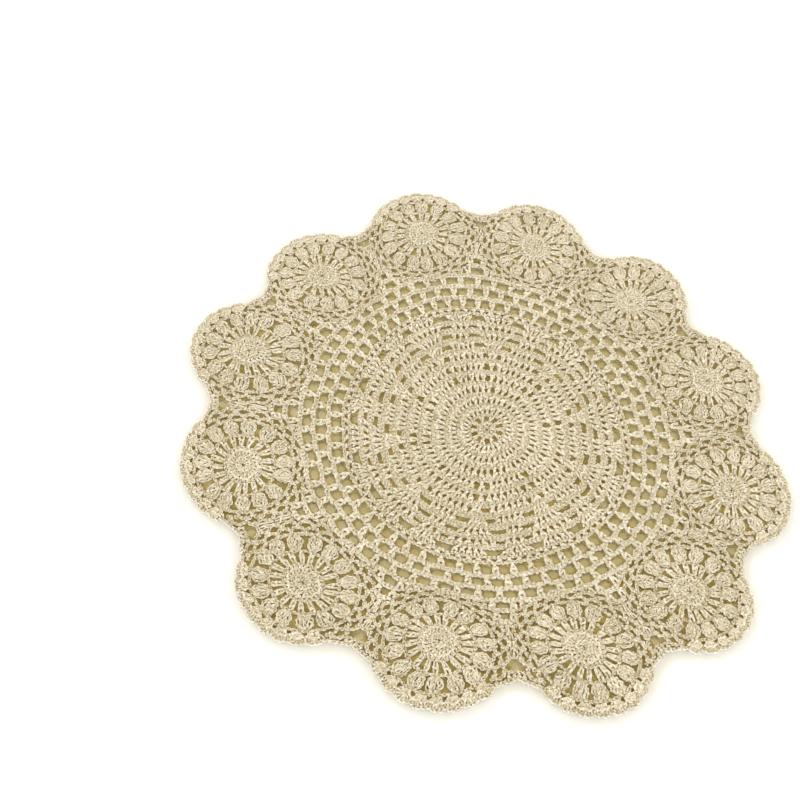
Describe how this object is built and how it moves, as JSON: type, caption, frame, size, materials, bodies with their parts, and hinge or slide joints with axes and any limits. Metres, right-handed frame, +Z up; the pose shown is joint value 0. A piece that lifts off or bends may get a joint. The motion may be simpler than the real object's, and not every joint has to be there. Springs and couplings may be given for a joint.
{
  "type": "round crochet lace doily",
  "caption": "Round crochet lace doily lying flat: petalled rosette, open net and a ring of small round motifs with a scalloped shell edge, in matte natural cotton.",
  "frame": {"origin": "middle of the doily's box, on the surface that it lies on", "axes": "+X across the doily, +Y along its slightly longer way, away from the picture's viewer, +Z up, out of the cloth's face"},
  "size_m": [0.2798, 0.2994, 0.003],
  "materials": {
    "cotton": "matte crocheted cotton thread"
  },
  "bodies": {
    "root": {"lace_doily": "cotton"}
  },
  "joints": []
}
